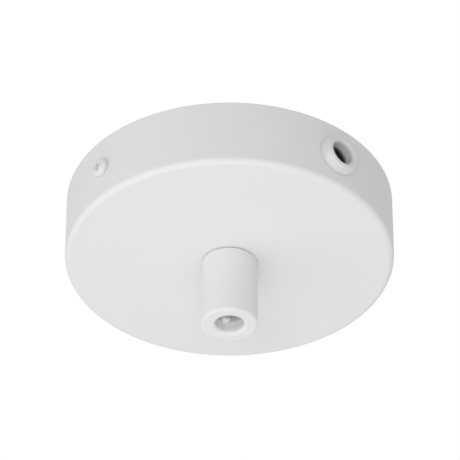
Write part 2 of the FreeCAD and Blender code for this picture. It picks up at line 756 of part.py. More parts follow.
pieces = [
    make_canopy(),
    make_bracket(),
    make_nipple(),
    make_toothed_washer(
        "nipple_lock_washer", "0", INNER_FACE, "sizes.lock_washer_radius", NIPPLE_HOLE,
        "sizes.lock_washer_thickness", "sizes.lock_washer_tooth", "sizes.lock_washer_teeth",
    ),
    make_nut(),
    make_cord_grip(),
    make_grip_screw(),
    *make_side_screws(),
    make_side_bush(),
    make_terminal_housing(),
    *make_barrels_and_clamp_screws(),
    *make_fixing_screws(),
    make_earth_screw(),
    make_toothed_washer(
        "earth_washer", "-sizes.earth_centre", f"({EARTH_SEAT} - sizes.earth_washer_thickness)",
        "sizes.earth_washer_radius", "(sizes.earth_screw_radius + sizes.hole_play)",
        "sizes.earth_washer_thickness", "sizes.earth_washer_tooth", "sizes.earth_washer_teeth",
    ),
]

doc.recompute()
for item in doc.Objects:
    if "Invalid" in item.State or "Error" in item.State:
        raise RuntimeError(f"{item.Name} failed: {item.State}")
for piece in pieces:
    if piece.Shape.isNull() or not piece.Shape.isValid() or len(piece.Shape.Solids) != 1:
        raise RuntimeError(f"{piece.Label} is not one valid solid")

os.makedirs("parts", exist_ok=True)
for piece in pieces:
    piece.Shape.exportStep(f"parts/{piece.Label}.step")
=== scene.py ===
import math

import bpy
from mathutils import Matrix, Vector


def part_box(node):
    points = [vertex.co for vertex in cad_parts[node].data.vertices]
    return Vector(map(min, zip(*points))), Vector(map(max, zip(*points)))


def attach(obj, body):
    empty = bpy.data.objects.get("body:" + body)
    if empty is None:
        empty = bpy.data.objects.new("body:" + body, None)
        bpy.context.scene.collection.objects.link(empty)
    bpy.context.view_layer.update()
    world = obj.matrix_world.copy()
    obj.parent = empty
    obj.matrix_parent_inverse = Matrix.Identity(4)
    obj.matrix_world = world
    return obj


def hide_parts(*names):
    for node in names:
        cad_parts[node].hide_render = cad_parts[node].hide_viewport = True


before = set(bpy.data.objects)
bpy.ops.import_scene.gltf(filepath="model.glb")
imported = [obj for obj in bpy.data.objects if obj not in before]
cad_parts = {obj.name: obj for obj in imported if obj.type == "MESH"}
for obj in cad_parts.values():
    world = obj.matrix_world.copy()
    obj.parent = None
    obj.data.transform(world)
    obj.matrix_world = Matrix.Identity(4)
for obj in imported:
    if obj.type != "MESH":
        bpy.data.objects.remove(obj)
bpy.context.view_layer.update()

# The studio: the rose hangs at ceiling height and is seen from below, against
# white. One broad lamp stands low on the left and one underneath, and two small
# ones stand in front, of which one lies in the camera's line and lights the hollows.
MM = 0.001
camera_distance = 1300.0 * MM
camera_azimuth = math.radians(-40.2)
camera_elevation = math.radians(-37.496)
camera_aim = Vector((0.135 * MM, -0.114 * MM, -11.76 * MM))
camera_lens = 275.6

scene = bpy.context.scene
scene.view_settings.view_transform = "Standard"


def towards(azimuth, elevation):
    """The direction from the object to a place, azimuth 0 lying on -Y and 90 on +X."""
    level = math.cos(elevation)
    return Vector((math.sin(azimuth) * level, -math.cos(azimuth) * level, math.sin(elevation)))


def aim(item, place, target):
    """Puts a camera or lamp at a place, looking at the target."""
    item.location = place
    item.rotation_euler = (target - place).to_track_quat("-Z", "Y").to_euler()


camera = bpy.data.objects.new("camera", bpy.data.cameras.new("camera"))
camera.data.lens = camera_lens
camera.data.clip_start = 10 * MM
scene.collection.objects.link(camera)
aim(camera, camera_distance * towards(camera_azimuth, camera_elevation), camera_aim)
scene.camera = camera


def set_inputs(node, settings):
    """Sets a node's sockets by name, with underscores or spaces in the names."""
    for name, setting in settings.items():
        node.inputs[name.replace("_", " ")].default_value = setting


def add_node(tree, kind, **inputs):
    """A new node with its sockets set by name."""
    node = tree.nodes.new(kind)
    set_inputs(node, inputs)
    return node


def add_math(tree, operation, first, second=None, clamp=False):
    """A Math node fed by sockets or plain numbers; returns its output."""
    node = tree.nodes.new("ShaderNodeMath")
    node.operation = operation
    node.use_clamp = clamp
    for socket, source in zip(node.inputs, (first, second)):
        if isinstance(source, (int, float)):
            socket.default_value = source
        elif source is not None:
            tree.links.new(source, socket)
    return node.outputs[0]


def seen_directly(tree):
    """One for a ray from the camera, or one that a gloss or glass passes on."""
    kinds = tree.nodes.new("ShaderNodeLightPath").outputs
    passed_on = add_math(tree, "ADD", kinds["Is Glossy Ray"], kinds["Is Transmission Ray"])
    return add_math(tree, "ADD", kinds["Is Camera Ray"], passed_on, clamp=True)


def show_either(tree, output_kind, mask, first, second):
    """Puts out the first shader where the mask is zero, and the second where it is one."""
    either = tree.nodes.new("ShaderNodeMixShader")
    for socket, source in zip(either.inputs, (mask, first.outputs[0], second.outputs[0])):
        tree.links.new(source, socket)
    out = tree.nodes.new(output_kind)
    tree.links.new(either.outputs[0], out.inputs["Surface"])


world_light = 0.575
world = bpy.data.worlds.new("studio_air")
world.use_nodes = True
scene.world = world
air = world.node_tree
air.nodes.clear()
glow = add_node(air, "ShaderNodeBackground", Color=(1, 1, 1, 1), Strength=world_light)
white = add_node(air, "ShaderNodeBackground", Color=(1, 1, 1, 1), Strength=1.0)
show_either(air, "ShaderNodeOutputWorld", seen_directly(air), glow, white)

lamp_distance = 1.1


def add_lamp(name, azimuth, elevation, size, watts):
    """A square soft lamp aimed at the object."""
    data = bpy.data.lights.new(name, "AREA")
    data.size = size
    data.energy = watts
    lamp = bpy.data.objects.new(name, data)
    lamp.visible_camera = False
    scene.collection.objects.link(lamp)
    place = lamp_distance * towards(math.radians(azimuth), math.radians(elevation))
    aim(lamp, place, camera_aim)


add_lamp("left_lamp", azimuth=-115, elevation=-25, size=1.2, watts=2.6)
add_lamp("front_lamp", azimuth=-60, elevation=-30, size=0.3, watts=1.35)
add_lamp("near_lamp", azimuth=-40, elevation=-37, size=0.3, watts=1.15)
add_lamp("low_lamp", azimuth=-40, elevation=-85, size=1.0, watts=3.35)


def flat_sheet(name, height, reach, corners, facing):
    """A flat stage piece at one height, a disc or a square, facing up or down."""
    turn = 2 * math.pi / corners
    rim = [
        (reach * math.cos(turn * corner), reach * math.sin(turn * corner), height)
        for corner in range(corners)
    ]
    order = range(corners) if facing == "up" else reversed(range(corners))
    data = bpy.data.meshes.new(name)
    data.from_pydata(rim, [], [tuple(order)])
    sheet = bpy.data.objects.new(name, data)
    scene.collection.objects.link(sheet)
    return sheet


def paint_sheet(sheet, name, grey):
    """Gives a stage piece a matt grey; returns its node tree, its shader and its back's mask."""
    material = bpy.data.materials.new(name)
    material.use_nodes = True
    tree = material.node_tree
    tree.nodes.clear()
    matt = add_node(
        tree, "ShaderNodeBsdfPrincipled", Base_Color=(grey, grey, grey, 1), Roughness=0.9,
    )
    sheet.data.materials.append(material)
    return tree, matt, tree.nodes.new("ShaderNodeNewGeometry").outputs["Backfacing"]


# The floor far below is pale and plain. Seen from above it is nearly as white as
# the air round it, darkened by the object's faint shadow; from below it is clear.
floor_height = -1.35
floor_reach = 4.0
floor_lift = 0.42
floor = flat_sheet("floor", floor_height, floor_reach, corners=4, facing="up")
tree, matt, back = paint_sheet(floor, "floor_paint", grey=0.86)
matt.inputs["Emission Color"].default_value = (1, 1, 1, 1)
lifted = add_math(tree, "MULTIPLY", seen_directly(tree), floor_lift)
tree.links.new(lifted, matt.inputs["Emission Strength"])
clear = tree.nodes.new("ShaderNodeBsdfTransparent")
show_either(tree, "ShaderNodeOutputMaterial", back, matt, clear)

# The patch of ceiling behind the canopy's open top keeps daylight out of it, as the real ceiling
# does, and its mid grey is painted shade.
# It is clear from above, so that the inside can be seen.
ceiling_sink = 0.25 * MM
ceiling_inset = 1.1 * MM
ceiling_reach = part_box("canopy")[1].x - ceiling_inset
ceiling = flat_sheet("ceiling", -ceiling_sink, ceiling_reach, corners=96, facing="down")
# The mid grey is painted shade: the ceiling as it looks in the dark inside of the canopy.
tree, matt, back = paint_sheet(ceiling, "ceiling_shade_paint", grey=0.5)
path = tree.nodes.new("ShaderNodeLightPath")
came_through = add_math(tree, "GREATER_THAN", path.outputs["Transparent Depth"], 0.5)
open_side = add_math(tree, "MAXIMUM", back, came_through)
clear = tree.nodes.new("ShaderNodeBsdfTransparent")
show_either(tree, "ShaderNodeOutputMaterial", open_side, matt, clear)

# The canopy is a cup drawn from 1 mm steel sheet and drilled for the nipple, the
# side screws and the side entry. It is powder coated matt white inside and out.
canopy_low, canopy_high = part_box("canopy")
canopy_radius = canopy_high.x
canopy_face = canopy_low.z
canopy_wall = 1.0 * MM
canopy_edge = 2.2 * MM
canopy_rim = 0.6 * MM
nipple_hole = 5.25 * MM
side_height = -13.3 * MM
screw_hole = 2.0 * MM
bush_hole = 5.9 * MM
bush_side = Vector((0, -1, 0))


def arc(centre, radius, start, end, steps):
    """Points of an outline along part of a circle; angles in degrees, 0 pointing outwards."""
    points = []
    for step in range(steps + 1):
        angle = math.radians(start + (end - start) * step / steps)
        points.append((centre[0] + radius * math.cos(angle), centre[1] + radius * math.sin(angle)))
    return points


def run(start, end, steps):
    """Points of an outline along a straight stretch, its two ends included."""
    return [
        (
            start[0] + (end[0] - start[0]) * step / steps,
            start[1] + (end[1] - start[1]) * step / steps,
        )
        for step in range(steps + 1)
    ]


def turned(name, outline, sides, ring=False):
    """A piece turned about its own +Z. Each point of its outline is a radius and a height,
    or a function of the angle that gives them. A ring's outline closes on itself; any
    other runs from pole to pole."""
    points, faces, rows = [], [], []
    for entry in outline:
        pole = not callable(entry) and entry[0] == 0
        row = []
        for side in range(1 if pole else sides):
            angle = 2 * math.pi * side / sides
            radius, height = entry(angle) if callable(entry) else entry
            row.append(len(points))
            points.append((radius * math.cos(angle), radius * math.sin(angle), height))
        rows.append(row)
    pairs = list(zip(rows, rows[1:]))
    if ring:
        pairs.append((rows[-1], rows[0]))
    for lower, upper in pairs:
        for side in range(sides):
            following = (side + 1) % sides
            if len(lower) == 1:
                faces.append((lower[0], upper[following], upper[side]))
            elif len(upper) == 1:
                faces.append((lower[side], lower[following], upper[0]))
            else:
                faces.append((lower[side], lower[following], upper[following], upper[side]))
    data = bpy.data.meshes.new(name)
    data.from_pydata(points, [], faces)
    data.validate()
    piece = bpy.data.objects.new(name, data)
    scene.collection.objects.link(piece)
    return piece


def put(piece, place=(0, 0, 0), axis=(0, 0, 1), spin=0.0):
    """Moves a piece's mesh so that its own +Z lies along axis through place."""
    turn = Vector(axis).to_track_quat("Z", "Y").to_matrix().to_4x4()
    piece.data.transform(Matrix.Translation(place) @ turn @ Matrix.Rotation(spin, 4, "Z"))
    return piece


def cut(piece, tool):
    """Takes a tool's shape out of a piece and removes the tool."""
    change = piece.modifiers.new("cut", "BOOLEAN")
    change.operation = "DIFFERENCE"
    change.solver = "EXACT"
    change.object = tool
    bpy.context.view_layer.update()
    finished = piece.evaluated_get(bpy.context.evaluated_depsgraph_get())
    result = bpy.data.meshes.new_from_object(finished)
    piece.modifiers.clear()
    piece.data = result
    bpy.data.objects.remove(tool)


def drill(piece, radius, length, place, axis, sides=64):
    """Drills a round hole through a piece, centred on place."""
    half = length / 2
    bit = turned("bit", [(0, -half), (radius, -half), (radius, half), (0, half)], sides)
    cut(piece, put(bit, place, axis))


def smooth(piece, sharp=32):
    """Shades a piece smooth, apart from its edges sharper than an angle in degrees."""
    piece.data.shade_smooth()
    piece.data.set_sharp_from_angle(angle=math.radians(sharp))
    even = piece.modifiers.new("even_normals", "WEIGHTED_NORMAL")
    even.keep_sharp = True


def dress(piece, material, body="rose", stands_for=()):
    """Gives a piece its material, and the body that it rides on."""
    piece.data.materials.clear()
    piece.data.materials.append(material)
    if piece.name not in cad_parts:
        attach(piece, body)
    if stands_for:
        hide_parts(*stands_for)


def new_group(name, **inputs):
    """A shader group that takes named settings and puts out colour, roughness and height."""
    group = bpy.data.node_groups.new(name, "ShaderNodeTree")
    for setting, default in inputs.items():
        kind = "NodeSocketColor" if isinstance(default, tuple) else "NodeSocketFloat"
        label = setting.replace("_", " ")
        socket = group.interface.new_socket(label, in_out="INPUT", socket_type=kind)
        socket.default_value = default
    group.interface.new_socket("Colour", in_out="OUTPUT", socket_type="NodeSocketColor")
    for label in ("Roughness", "Height"):
        group.interface.new_socket(label, in_out="OUTPUT", socket_type="NodeSocketFloat")
    return group, group.nodes.new("NodeGroupInput"), group.nodes.new("NodeGroupOutput")


def centred(group, noise):
    """A noise node's value, moved to lie about zero."""
    return add_math(group, "SUBTRACT", noise.outputs["Fac"], 0.5)


def put_out_tinted(group, given, result, change):
    """Puts out the group's colour, lighter or darker by a changing share."""
    tinted = group.nodes.new("ShaderNodeVectorMath")
    tinted.operation = "SCALE"
    group.links.new(given.outputs["Colour"], tinted.inputs[0])
    group.links.new(add_math(group, "ADD", change, 1.0), tinted.inputs["Scale"])
    group.links.new(tinted.outputs[0], result.inputs["Colour"])


def make_grain_group():
    """Fine grain and slow drifts of tone, which coats and mouldings share."""
    group, given, result = new_group(
        "surface_grain", Colour=(0.8, 0.8, 0.8, 1), Tone_Drift=0.02, Grain_Per_Metre=1500.0,
        Base_Roughness=0.5, Roughness_Drift=0.05,
    )
    place = group.nodes.new("ShaderNodeTexCoord").outputs["Object"]
    grain = add_node(group, "ShaderNodeTexNoise", Detail=3.0, Roughness=0.55)
    drift = add_node(group, "ShaderNodeTexNoise", Scale=38.0, Detail=4.0, Roughness=0.6)
    for noise in (grain, drift):
        group.links.new(place, noise.inputs["Vector"])
    group.links.new(given.outputs["Grain Per Metre"], grain.inputs["Scale"])
    slow = centred(group, drift)
    tone = add_math(group, "MULTIPLY", slow, given.outputs["Tone Drift"])
    put_out_tinted(group, given, result, tone)
    mixed = add_math(group, "ADD", slow, centred(group, grain))
    rough = add_math(group, "MULTIPLY", mixed, given.outputs["Roughness Drift"])
    rough = add_math(group, "ADD", rough, given.outputs["Base Roughness"], clamp=True)
    group.links.new(rough, result.inputs["Roughness"])
    group.links.new(grain.outputs["Fac"], result.inputs["Height"])
    return group


def skinned(name, group, bump_depth, skin_settings, shader_settings):
    """A material with colour, roughness and a shallow bump from a shader group."""
    material = bpy.data.materials.new(name)
    material.use_nodes = True
    tree = material.node_tree
    shader = tree.nodes["Principled BSDF"]
    set_inputs(shader, shader_settings)
    skin = tree.nodes.new("ShaderNodeGroup")
    skin.node_tree = group
    set_inputs(skin, skin_settings)
    bump = add_node(tree, "ShaderNodeBump", Strength=1.0, Distance=bump_depth)
    tree.links.new(skin.outputs["Colour"], shader.inputs["Base Color"])
    tree.links.new(skin.outputs["Roughness"], shader.inputs["Roughness"])
    tree.links.new(skin.outputs["Height"], bump.inputs["Height"])
    tree.links.new(bump.outputs["Normal"], shader.inputs["Normal"])
    return material


surface_grain = make_grain_group()


def grained(name, colour, roughness, grain, depth, **shader_settings):
    """A coat or moulding, its surface from surface_grain."""
    skin = {"Colour": (*colour, 1), "Grain Per Metre": grain, "Base Roughness": roughness}
    return skinned(name, surface_grain, depth, skin, shader_settings)


def canopy_outline():
    """The cup's section from the nipple hole out along the face, up the wall and back inside."""
    inner_radius = canopy_radius - canopy_wall
    inner_face = canopy_face + canopy_wall
    guard = 0.4 * MM
    corner = (canopy_radius - canopy_edge, canopy_face + canopy_edge)
    rim_bottom = canopy_high.z - canopy_rim
    face_start = (nipple_hole + guard, canopy_face)
    face = run(face_start, (corner[0] - guard, canopy_face), steps=10)
    edge = arc(corner, canopy_edge, -90, 0, steps=14)
    wall_start = (canopy_radius, corner[1] + guard)
    wall = run(wall_start, (canopy_radius, rim_bottom - guard), steps=12)
    rim_out = arc((canopy_radius - canopy_rim, rim_bottom), canopy_rim, 0, 90, steps=5)
    rim_in = arc((inner_radius + canopy_rim, rim_bottom), canopy_rim, 90, 180, steps=5)
    inside_start = (inner_radius, rim_bottom - guard)
    inside = run(inside_start, (inner_radius, corner[1] + guard), steps=12)
    inner_edge = arc(corner, canopy_edge - canopy_wall, 0, -90, steps=10)
    back_start = (corner[0] - guard, inner_face)
    back = run(back_start, (nipple_hole + guard, inner_face), steps=10)
    hole = [(nipple_hole, inner_face), (nipple_hole, canopy_face)]
    return face + edge + wall + rim_out + rim_in + inside + inner_edge + back + hole


canopy_coat = grained(
    "powder_coat", (0.808, 0.81, 0.806), roughness=0.62, grain=1500.0, depth=0.006 * MM,
)
canopy = turned("canopy_shell", canopy_outline(), sides=288, ring=True)
side_place = Vector((0, 0, side_height))
drill(canopy, screw_hole, 3 * canopy_radius, side_place, (1, 0, 0))
drill(canopy, bush_hole, 10 * canopy_wall, side_place + canopy_radius * bush_side, bush_side)
smooth(canopy)
dress(canopy, canopy_coat, stands_for=["canopy"])

# The bracket is a strip of zinc-plated steel, punched and bent. It is screwed to
# the ceiling through its slots, and the canopy's side screws go into its ears.


def make_zinc_group():
    """The fine drawn lines and cloudy tone of bright zinc plate on steel."""
    group, given, result = new_group(
        "zinc_bloom", Colour=(0.62, 0.64, 0.67, 1), Lines_Per_Metre=900.0, Cloud_Depth=0.16,
        Base_Roughness=0.3,
    )
    line_stretch = 0.04
    line_share = 0.2
    least_roughness = 0.12
    place = group.nodes.new("ShaderNodeTexCoord").outputs["Object"]
    stretch = add_node(group, "ShaderNodeMapping", Scale=(line_stretch, 1, 1))
    group.links.new(place, stretch.inputs["Vector"])
    lines = add_node(group, "ShaderNodeTexNoise", Detail=2.0)
    group.links.new(stretch.outputs[0], lines.inputs["Vector"])
    group.links.new(given.outputs["Lines Per Metre"], lines.inputs["Scale"])
    cloud = add_node(group, "ShaderNodeTexNoise", Scale=140.0, Detail=5.0, Roughness=0.65)
    group.links.new(place, cloud.inputs["Vector"])
    shade = add_math(group, "MULTIPLY", centred(group, cloud), given.outputs["Cloud Depth"])
    put_out_tinted(group, given, result, shade)
    streak = add_math(group, "MULTIPLY", centred(group, lines), line_share)
    rough = add_math(group, "ADD", streak, shade)
    rough = add_math(group, "ADD", rough, given.outputs["Base Roughness"])
    rough = add_math(group, "MAXIMUM", rough, least_roughness)
    group.links.new(rough, result.inputs["Roughness"])
    group.links.new(lines.outputs["Fac"], result.inputs["Height"])
    return group


zinc_bloom = make_zinc_group()


def plated(name, colour, roughness):
    """A plated or drawn metal, its surface from zinc_bloom."""
    line_depth = 0.003 * MM
    skin = {"Colour": (*colour, 1), "Base Roughness": roughness}
    return skinned(name, zinc_bloom, line_depth, skin, {"Metallic": 1.0})


def soften(piece, width, sharp=32):
    """Breaks the sharp edges of a CAD piece by a small round, without moving its mesh."""
    edge = piece.modifiers.new("edge_break", "BEVEL")
    edge.width = width
    edge.segments = 2
    edge.limit_method = "ANGLE"
    edge.angle_limit = math.radians(sharp)
    edge.harden_normals = True


zinc_plate = plated("zinc_plate", (0.62, 0.64, 0.67), roughness=0.32)
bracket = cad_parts["mounting_bracket"]
dress(bracket, zinc_plate)
soften(bracket, width=0.12 * MM)

# The nipple is a hollow tube with an M10 thread. With a toothed washer and a
# hexagon nut inside the canopy it pulls the cord grip up against the face.
nipple_low, nipple_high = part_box("nipple")
nipple_radius = nipple_high.x
nipple_bore = 4.0 * MM
nipple_pitch = 1.0 * MM
nipple_chamfer = 0.5 * MM
thread_depth_share = 0.61


def thread(radius, pitch, low, high, chamfer):
    """Outline entries of a right-hand thread from low to high, its ends cut back by a chamfer."""
    depth = thread_depth_share * pitch
    crest = 0.12
    rows_per_turn = 8
    rows = max(2, round((high - low) / pitch * rows_per_turn))

    def entry(height):
        room = min(high - height, height - low)
        limit = radius - max(0.0, chamfer - room)

        def at(angle):
            phase = (height / pitch - angle / (2 * math.pi)) % 1.0
            flank = max(0.0, abs(2 * phase - 1) - crest) / (1 - crest)
            return min(limit, radius - depth * (1 - flank)), height

        return at

    return [entry(low + (high - low) * row / rows) for row in range(rows + 1)]


nipple_outside = thread(nipple_radius, nipple_pitch, nipple_low.z, nipple_high.z, nipple_chamfer)
nipple_inside = run((nipple_bore, nipple_high.z), (nipple_bore, nipple_low.z), steps=8)
nipple = turned("nipple_tube", nipple_outside + nipple_inside, sides=72, ring=True)
smooth(nipple, sharp=50)
dress(nipple, zinc_plate, stands_for=["nipple"])

nut_low, nut_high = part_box("nipple_nut")
nut_flats = 2 * nut_high.x
nut_bore = 5.05 * MM


def nut_outline(flats, bore, low, high):
    """The section of a hexagon nut: bore, faces and the six sides, cut by a cone at both ends."""
    chamfer = 0.35 * MM
    face_share = 0.93
    steps = 16

    def side(height):
        def at(angle):
            across = math.cos((angle + math.pi / 6) % (math.pi / 3) - math.pi / 6)
            room = min(high - height, height - low)
            cone = flats / 2 + room * math.sqrt(3)
            return min(flats / 2 / across, cone), height

        return at

    bottom = [(bore + chamfer, low), (flats / 2 * face_share, low)]
    sides = [side(low + (high - low) * step / steps) for step in range(steps + 1)]
    top = [(flats / 2 * face_share, high), (bore + chamfer, high)]
    hole = [(bore, high - chamfer), (bore, low + chamfer)]
    return bottom + sides + top + hole


nut_section = nut_outline(nut_flats, nut_bore, nut_low.z, nut_high.z)
nut = turned("hexagon_nut", nut_section, sides=144, ring=True)
smooth(nut, sharp=28)
dress(nut, zinc_plate, stands_for=["nipple_nut"])


def star_washer(name, node, bore, teeth, tooth):
    """A toothed lock washer: a flat ring whose teeth are each twisted out of its plane."""
    low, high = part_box(node)
    reach = (high.x - low.x) / 2
    root = reach - tooth
    half = (high.z - low.z) / 2
    sheet_share = 0.55
    twist = 0.5 * MM
    gap = 0.18
    ledge = 0.02 * MM
    steps_per_tooth = 12

    def across(angle):
        """How far along its tooth an angle lies, from its middle, and whether on the tooth."""
        phase = angle * teeth / (2 * math.pi) % 1.0
        return phase - 0.5, gap < phase < 1 - gap

    def foot(level):
        def at(angle):
            offset, on_tooth = across(angle)
            tilt = offset * twist if on_tooth else 0.0
            return root, max(-half, min(half, level + tilt))

        return at

    def end(level):
        def at(angle):
            offset, on_tooth = across(angle)
            tilt = offset * 2 * twist if on_tooth else 0.0
            radius = reach if on_tooth else root + ledge
            return radius, max(-half, min(half, level + tilt))

        return at

    sheet = half * sheet_share
    outline = [(bore, -sheet), foot(-sheet), end(-sheet), end(sheet), foot(sheet), (bore, sheet)]
    washer = turned(name, outline, sides=teeth * steps_per_tooth, ring=True)
    put(washer, (low + high) / 2)
    smooth(washer, sharp=30)
    dress(washer, zinc_plate, stands_for=[node])


star_washer(
    "nipple_star_washer", "nipple_lock_washer", bore=5.25 * MM, teeth=12, tooth=1.6 * MM,
)
star_washer("earth_star_washer", "earth_washer", bore=2.25 * MM, teeth=8, tooth=1.1 * MM)

# The cord grip is moulded in white plastic, hollow right through, with the
# nipple's socket at its top and a rounded mouth below for the cord.
grip_low, grip_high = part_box("cord_grip_body")
grip_radius = 10.2 * MM
grip_top = grip_high.z
grip_end = grip_low.z
grip_mouth = 5.1 * MM
grip_mouth_depth = 3.9 * MM
grip_passage = 4.9 * MM
grip_socket = 5.05 * MM
grip_socket_depth = 8.0 * MM
grip_edge = 0.8 * MM
grip_lip = 1.5 * MM
grip_shoulder = 0.2 * MM
grip_relief = 0.35 * MM
grip_relief_depth = 0.9 * MM
grip_screw_height = grip_end + 6.0 * MM
grip_screw_turn = math.radians(70)
grip_screw_radius = 2.0 * MM
grip_screw_bite = 0.2 * MM
grip_screw_out = Vector((math.cos(grip_screw_turn), math.sin(grip_screw_turn), 0))


def grip_outline():
    """The sleeve's section from its top out, down, round the end and up the bore."""
    guard = 0.25 * MM
    relief = grip_radius - grip_relief_depth
    rebate = [(relief, grip_top), (relief, grip_top - grip_relief)]
    corner = (grip_radius - grip_shoulder, grip_top - grip_relief - grip_shoulder)
    shoulder = arc(corner, grip_shoulder, 90, 0, steps=4)
    side_start = (grip_radius, corner[1] - guard)
    side = run(side_start, (grip_radius, grip_end + grip_edge + guard), steps=16)
    foot = arc((grip_radius - grip_edge, grip_end + grip_edge), grip_edge, 0, -90, steps=8)
    ring_face = [
        (grip_radius - grip_edge - guard, grip_end),
        (grip_mouth + grip_lip + guard, grip_end),
    ]
    lip = arc((grip_mouth + grip_lip, grip_end + grip_lip), grip_lip, -90, -180, steps=8)
    step = grip_end + grip_mouth_depth
    mouth = [(grip_mouth, step - 2 * guard), (grip_mouth, step - guard)]
    socket_floor = grip_top - grip_socket_depth
    bore = run((grip_passage, step + guard), (grip_passage, socket_floor), steps=14)
    socket = [(grip_socket, socket_floor), (grip_socket, grip_top)]
    return rebate + shoulder + side + foot + ring_face + lip + mouth + bore + socket


grip_plastic = grained(
    "grip_plastic", (0.808, 0.81, 0.806), roughness=0.45, grain=2600.0, depth=0.003 * MM,
    Subsurface_Weight=0.15, Subsurface_Scale=1.0 * MM, Subsurface_Radius=(1, 1, 1),
)
grip = turned("cord_grip", grip_outline(), sides=160, ring=True)
wall_middle = (grip_radius + grip_passage) / 2
hole_place = wall_middle * grip_screw_out + Vector((0, 0, grip_screw_height))
hole_radius = grip_screw_radius - grip_screw_bite
drill(grip, hole_radius, grip_radius, hole_place, grip_screw_out, sides=48)
smooth(grip)
dress(grip, grip_plastic, stands_for=["cord_grip_body"])

# The nylon screw in the grip's side pinches the cord. It is moulded in natural
# nylon, with a driver slot outside and a blunt end that shows inside the mouth.
grip_screw_tip = 2.8 * MM
grip_screw_length = 7.2 * MM
grip_screw_pitch = 0.7 * MM
grip_screw_chamfer = 0.5 * MM
tip_round = 0.5 * MM
tip_length = 0.6 * MM
driver_slot = 0.7 * MM
driver_slot_depth = 0.8 * MM


def slot_cutter(reach, top):
    """A flat blade that cuts a driver slot across a screw's outer end."""
    half = driver_slot / 2
    levels = (top - driver_slot_depth, top + reach)
    corners = [(x, y, z) for x in (-reach, reach) for y in (-half, half) for z in levels]
    faces = [
        (0, 1, 3, 2), (4, 6, 7, 5), (0, 4, 5, 1), (2, 3, 7, 6), (0, 2, 6, 4), (1, 5, 7, 3),
    ]
    blade = bpy.data.objects.new("blade", bpy.data.meshes.new("blade"))
    blade.data.from_pydata(corners, [], faces)
    scene.collection.objects.link(blade)
    return blade


nylon = grained(
    "natural_nylon", (0.79, 0.79, 0.78), roughness=0.38, grain=1800.0, depth=0.003 * MM,
    Subsurface_Weight=0.25, Subsurface_Scale=1.0 * MM, Subsurface_Radius=(1, 1, 0.9),
)
tip_radius = grip_screw_radius - thread_depth_share * grip_screw_pitch
tip_middle = (tip_radius - tip_round, -grip_screw_length + tip_round)
tip_face = [(0, -grip_screw_length)] + arc(tip_middle, tip_round, -90, -20, steps=5)
thread_start = -grip_screw_length + tip_length
nylon_thread = thread(grip_screw_radius, grip_screw_pitch, thread_start, 0, grip_screw_chamfer)
outer_face = [(grip_screw_radius / 2, 0), (0, 0)]
grip_screw = turned("nylon_screw", tip_face + nylon_thread + outer_face, sides=48)
cut(grip_screw, slot_cutter(2 * grip_screw_radius, 0))
outer_reach = grip_screw_tip + grip_screw_length
outer_end = outer_reach * grip_screw_out + Vector((0, 0, grip_screw_height))
put(grip_screw, outer_end, grip_screw_out)
smooth(grip_screw, sharp=50)
dress(grip_screw, nylon, body="cord_grip_screw_body", stands_for=["cord_grip_screw"])

# The two side screws are M3.5 pan heads with a cross recess, lacquered white. They
# go through the canopy's wall into the bracket's ears and hold the canopy up.
side_head_radius = 3.5 * MM
side_head_height = 2.1 * MM
side_head_round = 1.3 * MM
side_screw_radius = 1.75 * MM
side_screw_length = 8.0 * MM
side_screw_pitch = 0.6 * MM
side_screw_spin = math.radians(5)
cross_reach = 2.1 * MM
cross_half = 0.48 * MM
cross_depth = 1.5 * MM
cross_bottom_share = 0.55
cross_mouth_share = 1.25


def shank(radius, pitch, length):
    """Outline entries of a threaded shank, from the middle of its tip up to the head."""
    chamfer = 0.3 * MM
    tip_share = 0.6
    tip = [(0, -length), (radius * tip_share, -length)]
    return tip + thread(radius, pitch, -length, 0, chamfer)


def pan_head(radius, height, crown, steps=12):
    """Outline entries of a pan head, from its seat past a narrow gap and over the crown."""
    seat_share = 0.6
    gap_depth = 0.3 * MM
    gap_height = 0.2 * MM
    underside = 0.25 * MM
    seat = [(radius * seat_share, 0), (radius - gap_depth, 0)]
    gap = [(radius - gap_depth, gap_height), (radius, underside)]
    dome = arc((radius - crown, height - crown), crown, 0, 90, steps)
    return seat + gap + dome + [((radius - crown) / 2, height), (0, height)]


def cross_cutter(top):
    """A tapered cross, wider at its mouth, that cuts a screw's cross recess."""
    reach, half = cross_reach, cross_half
    ring = [
        (reach, -half), (reach, half), (half, half), (half, reach), (-half, reach), (-half, half),
        (-reach, half), (-reach, -half), (-half, -half), (-half, -reach), (half, -reach),
        (half, -half),
    ]
    count = len(ring)
    above = top + cross_depth / 2
    upper = [(x * cross_mouth_share, y * cross_mouth_share, above) for x, y in ring]
    bottom = top - cross_depth
    lower = [(x * cross_bottom_share, y * cross_bottom_share, bottom) for x, y in ring]
    sides = [(i, (i + 1) % count, (i + 1) % count + count, i + count) for i in range(count)]
    caps = [tuple(reversed(range(count))), tuple(range(count, 2 * count))]
    cutter = bpy.data.objects.new("cross", bpy.data.meshes.new("cross"))
    cutter.data.from_pydata(lower + upper, [], sides + caps)
    scene.collection.objects.link(cutter)
    return cutter


screw_lacquer = grained(
    "white_lacquer", (0.78, 0.78, 0.776), roughness=0.4, grain=2200.0, depth=0.003 * MM,
)
for side, sign in (("left", -1), ("right", 1)):
    outline = shank(side_screw_radius, side_screw_pitch, side_screw_length)
    outline += pan_head(side_head_radius, side_head_height, side_head_round)
    screw = turned(f"side_screw_{side}_lacquered", outline, sides=64)
    cut(screw, cross_cutter(side_head_height))
    seat = Vector((sign * canopy_radius, 0, side_height))
    put(screw, seat, (sign, 0, 0), spin=side_screw_spin)
    smooth(screw, sharp=40)
    node = f"side_screw_{side}"
    dress(screw, screw_lacquer, body=f"{node}_body", stands_for=[node])

